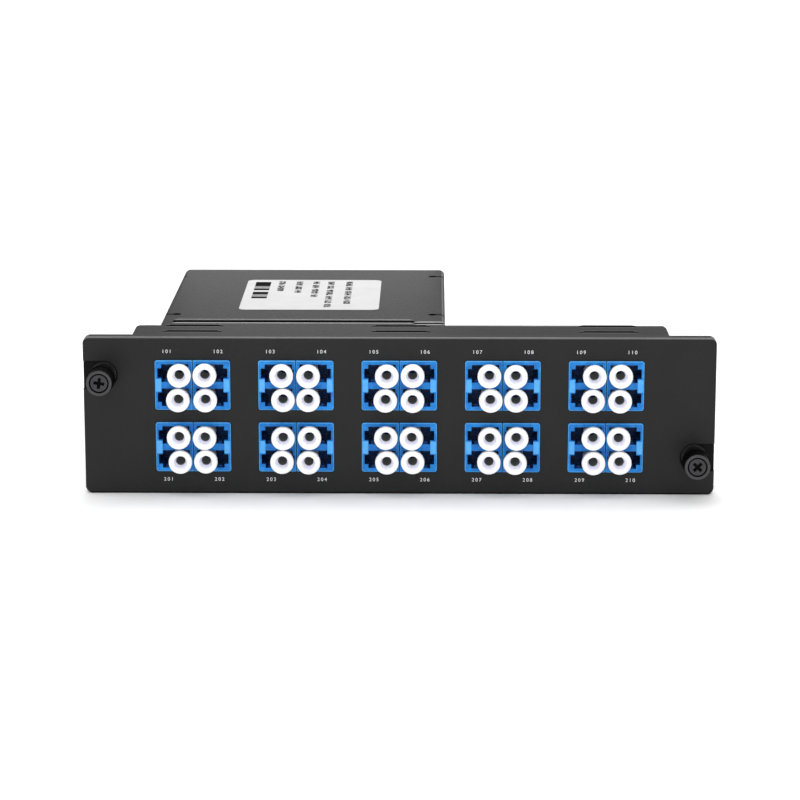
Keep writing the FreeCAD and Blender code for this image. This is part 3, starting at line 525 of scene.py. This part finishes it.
def piece(name, mesh, material, body="root"):
    """New piece of the object, with its finish, that moves with a body."""
    made = bpy.data.objects.new(name, mesh)
    bpy.context.scene.collection.objects.link(made)
    mesh.materials.clear()
    mesh.materials.append(material)
    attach(made, body)
    return made


def thread_ridge(mesh, centre, front, back, radius):
    """Adds a screw thread to a mesh being built: a ridge wound along Y, run out at its ends."""
    turns = (back - front) / (THREAD_PITCH_MM * MM) - 1
    count = round(turns * THREAD_STEPS)
    root = radius - (THREAD_DEPTH_MM + THREAD_SINK_MM) * MM
    half = THREAD_PITCH_MM / 2 * MM
    axis = Vector((centre.x, 0, centre.z))
    rings = []
    for step in range(count + 1):
        turn = 2 * math.pi * step / THREAD_STEPS
        y = front + half + step / THREAD_STEPS * THREAD_PITCH_MM * MM
        rise = min(1.0, step / THREAD_STEPS, (count - step) / THREAD_STEPS)
        crest = root + (radius - root) * rise
        section = ((root, y - half), (crest, y), (root, y + half))
        across = Vector((math.cos(turn), 0, math.sin(turn)))
        points = [axis + across * reach + Vector((0, place, 0)) for reach, place in section]
        rings.append([mesh.verts.new(point) for point in points])
    for ring, following in zip(rings, rings[1:]):
        for corner in range(len(ring)):
            other = (corner + 1) % len(ring)
            mesh.faces.new((ring[corner], ring[other], following[other], following[corner]))
    mesh.faces.new(rings[0])
    mesh.faces.new(reversed(rings[-1]))


def threaded_screw(side, thread, head, recess_shade):
    """Captive screw with its thread: the shank is reduced to the root, and the ridge is wound on."""
    name = f"{side}_captive_screw"
    low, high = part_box(name)
    centre = (low + high) / 2
    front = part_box(f"{side}_retaining_ring")[1].y
    shank = [v.co for v in nodes[name].data.vertices if v.co.y > front]
    radius = max(math.hypot(co.x - centre.x, co.z - centre.z) for co in shank)
    root = radius - THREAD_DEPTH_MM * MM
    mesh = bmesh.new()
    mesh.from_mesh(nodes[name].data)
    for vertex in mesh.verts:
        across = Vector((vertex.co.x - centre.x, 0, vertex.co.z - centre.z))
        if vertex.co.y > front and across.length > root:
            across *= root / across.length
            vertex.co = Vector((centre.x, vertex.co.y, centre.z)) + across
    thread_ridge(mesh, centre, front, high.y, radius)
    bmesh.ops.recalc_face_normals(mesh, faces=mesh.faces)
    made = bpy.data.meshes.new(f"{side}_threaded_screw")
    mesh.to_mesh(made)
    mesh.free()
    screw = piece(f"{side}_threaded_screw", made, thread, f"{side}_thumbscrew")
    front_face = low.y + KNOB_FACE_BAND_MM * MM
    neck = low.y + HEAD_DEPTH_MM * MM

    # The head behind its front face, with its cross recess, takes the knurl's near-black painted shade
    def choose(face):
        if face.center.y > neck:
            return thread
        return head if face.center.y < front_face else recess_shade

    dress_faces(made, (thread, head, recess_shade), choose)
    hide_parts(name)


def return_spring(side, wire):
    """Return spring, drawn from its own copy of the CAD node's mesh in the node's place."""
    name = f"{side}_return_spring"
    spring = piece(f"{side}_coil_spring", nodes[name].data.copy(), wire)
    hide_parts(name)
    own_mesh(spring)


def number_mesh(text, x, y, z):
    """Printed number on the panel's face, centred at a place, as a thin layer of ink."""
    curve = bpy.data.curves.new("number", "FONT")
    curve.body = text
    curve.size = NUMBER_TYPE_MM * MM
    curve.space_character = NUMBER_TRACKING
    curve.offset = NUMBER_WEIGHT_MM * MM
    curve.extrude = INK_MM / 2 * MM
    curve.align_x = "CENTER"
    curve.align_y = "CENTER"
    holder = bpy.data.objects.new("number", curve)
    mesh = bpy.data.meshes.new_from_object(holder)
    bpy.data.objects.remove(holder)
    bpy.data.curves.remove(curve)
    for vertex in mesh.vertices:
        across, up, out = vertex.co
        vertex.co = (x + across, y - out, z + up)
    return mesh


def port_numbers():
    """Plain numbers above the upper row and below the lower row, one for each adapter."""
    panel_low, panel_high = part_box("front_panel")
    grid_low, grid_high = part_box("duplex_adapters")
    first = grid_low.x + PAIR_WIDTH_MM / 2 * MM
    pitch = (grid_high.x - grid_low.x - PAIR_WIDTH_MM * MM) / (PORT_COLUMNS - 1)
    y = panel_low.y - INK_MM / 2 * MM
    merged = bmesh.new()
    for row, z in ((1, panel_high.z - NUMBER_EDGE_MM * MM), (2, panel_low.z + NUMBER_EDGE_MM * MM)):
        for port in range(2 * PORT_COLUMNS):
            side = 2 * (port % 2) - 1
            x = first + port // 2 * pitch + side * NUMBER_SPREAD_MM * MM
            mesh = number_mesh(f"{row}{port + 1:02d}", x, y, z)
            merged.from_mesh(mesh)
            bpy.data.meshes.remove(mesh)
    mesh = bpy.data.meshes.new("port_numbers")
    merged.to_mesh(mesh)
    merged.free()
    piece("port_numbers", mesh, ink("white_panel_ink", "#d6d6d6", "#e6e6e6"))


def block(mesh, x0, x1, y0, y1, z0, z1):
    """Adds a closed box to a mesh being built."""
    made = bmesh.ops.create_cube(mesh, size=1.0)["verts"]
    for vertex in made:
        vertex.co.x = x0 if vertex.co.x < 0 else x1
        vertex.co.y = y0 if vertex.co.y < 0 else y1
        vertex.co.z = z0 if vertex.co.z < 0 else z1


def label_sheet(right, back, z):
    """Paper sheet with rounded corners, lying on the cover."""
    left = right - LABEL_WIDTH_MM * MM
    front = back - LABEL_DEPTH_MM * MM
    corner = LABEL_CORNER_MM * MM
    mesh = bmesh.new()
    outline = []
    quarter = math.pi / 2
    centres = ((right - corner, back - corner), (left + corner, back - corner),
               (left + corner, front + corner), (right - corner, front + corner))
    for number, (x, y) in enumerate(centres):
        for step in range(LABEL_CORNER_STEPS + 1):
            turn = quarter * (number + step / LABEL_CORNER_STEPS)
            place = (x + corner * math.cos(turn), y + corner * math.sin(turn), z)
            outline.append(mesh.verts.new(place))
    base = mesh.faces.new(outline)
    raised = bmesh.ops.extrude_face_region(mesh, geom=[base])["geom"]
    for part in raised:
        if isinstance(part, bmesh.types.BMVert):
            part.co.z += LABEL_THICKNESS_MM * MM
    bmesh.ops.recalc_face_normals(mesh, faces=mesh.faces)
    made = bpy.data.meshes.new("cover_label")
    mesh.to_mesh(made)
    mesh.free()
    piece("cover_label", made, label_paper())


def label_letter(mesh, low, y, z, top):
    """Adds one letter-like sign that spells nothing: an upright stem with a few short arms."""
    stem = y - draw.uniform(0, LETTER_WIDTH_MM - STEM_WIDTH_MM) * MM
    block(mesh, low, low + LINE_HEIGHT_MM * MM, stem - STEM_WIDTH_MM * MM, stem, z, top)
    for _ in range(draw.randint(*LETTER_ARMS)):
        foot = low + draw.uniform(0, LINE_HEIGHT_MM - ARM_HEIGHT_MM) * MM
        block(mesh, foot, foot + ARM_HEIGHT_MM * MM, y - LETTER_WIDTH_MM * MM, y, z, top)


def label_print(right, back, z):
    """Generic print: rows of signs that spell nothing, and a block of plain bars."""
    mesh = bmesh.new()
    top = z + INK_MM * MM
    for place, length in zip(LINE_PLACES_MM, LINE_LENGTHS_MM):
        low = right - (place + LINE_HEIGHT_MM / 2) * MM
        letters = draw.randint(*WORD_LETTERS)
        for step in range(int(length / LETTER_PITCH_MM)):
            if letters == 0:
                letters = draw.randint(*WORD_LETTERS)
                continue
            label_letter(mesh, low, back - (LINE_MARGIN_MM + step * LETTER_PITCH_MM) * MM, z, top)
            letters -= 1
    x1 = right - BARS_PLACE_MM * MM
    x0 = x1 - BARS_HEIGHT_MM * MM
    y1 = back - BARS_MARGIN_MM * MM
    for width, gap in zip(BAR_WIDTHS_MM, BAR_GAPS_MM):
        block(mesh, x0, x1, y1 - width * MM, y1, z, top)
        y1 -= (width + gap) * MM
    made = bpy.data.meshes.new("label_print")
    mesh.to_mesh(made)
    mesh.free()
    piece("label_print", made, ink("black_label_ink", "#060606", "#0c0c0c"))


def cut_walls():
    """Long steep walls of the cover's cuts and rear edges: ends in X, place in Y and the way they face."""
    mesh = nodes["top_cover"].data
    cut_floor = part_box("top_cover")[1].z - CUT_DEPTH_MM * MM
    gap = WALL_GAP_MM * MM
    found = []
    for face in mesh.polygons:
        if abs(face.normal.z) > WALL_STEEPNESS or abs(face.normal.x) > WALL_STEEPNESS:
            continue
        if face.center.z < cut_floor or face.center.y < COVER_FRONT_MM * MM:
            continue
        ends = [mesh.vertices[i].co.x for i in face.vertices]
        found.append((min(ends), max(ends), face.center.y, math.copysign(1, face.normal.y)))
    walls = []
    for low, high, y, facing in sorted(found):
        for wall in walls:
            if abs(wall[2] - y) < gap and wall[3] == facing and low < wall[1] + gap:
                wall[1] = max(wall[1], high)
                break
        else:
            walls.append([low, high, y, facing])
    return [wall for wall in walls if wall[1] - wall[0] > WALL_SHORTEST_MM * MM]


def lip(mesh, low, high, middle_y, half, height, finish):
    """Adds one lip to a mesh being built: a low rounded ridge along X, run out at its ends."""
    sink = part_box("top_cover")[1].z - LIP_SINK_MM * MM
    taper = LIP_TAPER_MM * MM
    rings = []
    for x, rise in ((low, 0.0), (low + taper, 1.0), (high - taper, 1.0), (high, 0.0)):
        ring = []
        for step in range(LIP_STEPS + 1):
            turn = math.pi * step / LIP_STEPS
            up = (height * rise + LIP_SINK_MM) * MM * math.sin(turn)
            ring.append(mesh.verts.new((x, middle_y + half * math.cos(turn), sink + up)))
        rings.append(ring)
    faces = [mesh.faces.new(rings[0]), mesh.faces.new(reversed(rings[-1]))]
    for ring, following in zip(rings, rings[1:]):
        for step in range(len(ring)):
            other = (step + 1) % len(ring)
            corners = (ring[step], ring[other], following[other], following[step])
            faces.append(mesh.faces.new(corners))
    for face in faces:
        face.material_index = finish


def rolled_lips():
    """Low rounded lips along the straps' slits, the seam and the rear edges, with painted highlights,
    faintest at the slits and brightest on the near lips and the seam's ends, and painted shade on the
    fronts of the straps' lips.
    """
    # Painted highlights on the lips: plain on far lips, bright on near lips and the seam's ends, faint on
    # the straps' lips
    plain = powder_coat("black_powder_lip_painted_highlight", "#525252", "#5e5e5e", gloss=0.6, relief_mm=0.03)
    bright_lip_highlight = powder_coat("black_powder_bright_lip_painted_highlight", "#7c7c7c", "#888888", gloss=0.6, relief_mm=0.03)
    strap_lip_highlight = powder_coat("black_powder_strap_lip_painted_highlight", "#444444", "#4e4e4e", gloss=0.5, relief_mm=0.03)
    # Painted shade on the fronts of the straps' lips
    dark = powder_coat("black_powder_lip_front_painted_shade", "#0c0c0c", "#121212", gloss=0.1, relief_mm=0.03)
    finishes = (plain, bright_lip_highlight, strap_lip_highlight, dark)
    mesh = bmesh.new()
    for low, high, y, facing in cut_walls():
        length = high - low
        far = facing < 0
        if SEAM_END_LONGEST_MM * MM < length < STRAP_LONGEST_MM * MM:
            width, setback, heights = STRAP_LIP_WIDTH_MM, STRAP_LIP_SETBACK_MM, STRAP_LIP_HEIGHTS_MM
            finish = strap_lip_highlight
        else:
            width, setback, heights = SEAM_LIP_WIDTH_MM, SEAM_LIP_SETBACK_MM, SEAM_LIP_HEIGHTS_MM
            finish = plain if far and length > STRAP_LONGEST_MM * MM else bright_lip_highlight
        height = heights[0] if far else heights[1]
        middle_y = y - facing * (setback + width / 2) * MM
        lip(mesh, low, high, middle_y, width / 2 * MM, height, finishes.index(finish))
    bmesh.ops.recalc_face_normals(mesh, faces=mesh.faces)
    made = bpy.data.meshes.new("rolled_lips")
    mesh.to_mesh(made)
    mesh.free()
    marks = [finishes[face.material_index] for face in made.polygons]
    for face in made.polygons:
        face.use_smooth = True
    piece("rolled_lips", made, plain)

    def choose(face):
        mark = marks[face.index]
        # Forward-facing faces of the straps' lips take painted shade
        return dark if mark == strap_lip_highlight and face.normal.y < LIP_FRONT_FACING else mark

    dress_faces(made, finishes, choose)


def cover_label():
    """Label and its print on the cover's top."""
    _, cover_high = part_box("top_cover")
    right = LABEL_RIGHT_MM * MM
    back = cover_high.y - LABEL_BACK_SETBACK_MM * MM
    label_sheet(right, back, cover_high.z)
    label_print(right, back, cover_high.z + LABEL_THICKNESS_MM * MM)


def floor():
    """Plain pale floor under the module."""
    low = cad_box[0].z
    reach = FLOOR_REACH_MM * MM
    mesh = bpy.data.meshes.new("studio_floor")
    corners = ((-1, -1), (1, -1), (1, 1), (-1, 1))
    mesh.from_pydata([(x * reach, y * reach, low) for x, y in corners], [], [range(len(corners))])
    material, surface = new_material("white_studio_floor", Roughness=0.9, Specular_IOR_Level=0.0)
    surface.inputs["Base Color"].default_value = linear("#fafafa")
    mesh.materials.append(material)
    made = bpy.data.objects.new("studio_floor", mesh)
    bpy.context.scene.collection.objects.link(made)


def softbox(name, place_mm, aim_mm, size_mm, power):
    """Soft light that faces a point and stays out of the picture."""
    light = bpy.data.lights.new(name, "AREA")
    light.shape = "RECTANGLE"
    light.size, light.size_y = (side * MM for side in size_mm)
    light.energy = power
    made = bpy.data.objects.new(name, light)
    made.location = Vector(place_mm) * MM
    made.rotation_euler = (Vector(aim_mm) - Vector(place_mm)).to_track_quat("-Z", "Y").to_euler()
    made.visible_camera = False
    bpy.context.scene.collection.objects.link(made)


def studio():
    """Surroundings that are brightest overhead, and the softboxes."""
    scene = bpy.context.scene
    scene.view_settings.view_transform = "Standard"
    world = bpy.data.worlds.new("white_studio")
    world.use_nodes = True
    sky = world.node_tree.nodes["Background"]
    sky.inputs["Color"].default_value = linear("#ffffff")
    direction = add(world, "TexCoord", {}, {}).outputs["Generated"]
    height = add(world, "SeparateXYZ", {}, {"Vector": direction}).outputs["Z"]
    rise = add(world, "Math", {"operation": "MULTIPLY"}, {0: height, 1: height}).outputs[0]
    glow = add(world, "MapRange", {}, {"Value": rise, "To Min": SKY_HORIZON, "To Max": SKY_ZENITH})
    world.node_tree.links.new(glow.outputs[0], sky.inputs["Strength"])
    scene.world = world
    softbox("top_softbox", TOP_BOX_MM, TOP_BOX_AIM_MM, TOP_BOX_SIZE_MM, TOP_BOX_POWER)
    softbox("back_softbox", BACK_BOX_MM, BACK_BOX_AIM_MM, BACK_BOX_SIZE_MM, BACK_BOX_POWER)
    softbox("front_softbox", FRONT_BOX_MM, FRONT_BOX_AIM_MM, FRONT_BOX_SIZE_MM, FRONT_BOX_POWER)
    for name, side in (("left_softbox", -1), ("right_softbox", 1)):
        place = (side * SIDE_BOX_MM[0], SIDE_BOX_MM[1], SIDE_BOX_MM[2])
        softbox(name, place, SIDE_BOX_AIM_MM, SIDE_BOX_SIZE_MM, SIDE_BOX_POWER)


def camera():
    """Camera at the photograph's angle."""
    data = bpy.data.cameras.new("camera")
    data.sensor_width = SENSOR_MM
    data.lens = LENS_MM
    data.clip_end = 2 * FLOOR_REACH_MM * MM
    made = bpy.data.objects.new("camera", data)
    made.location = Vector(CAMERA_MM) * MM
    made.rotation_euler = (Vector(AIM_MM) - Vector(CAMERA_MM)).to_track_quat("-Z", "Y").to_euler()
    bpy.context.scene.collection.objects.link(made)
    bpy.context.scene.camera = made


camera()
dress_nodes()
port_numbers()
rolled_lips()
cover_label()
floor()
studio()
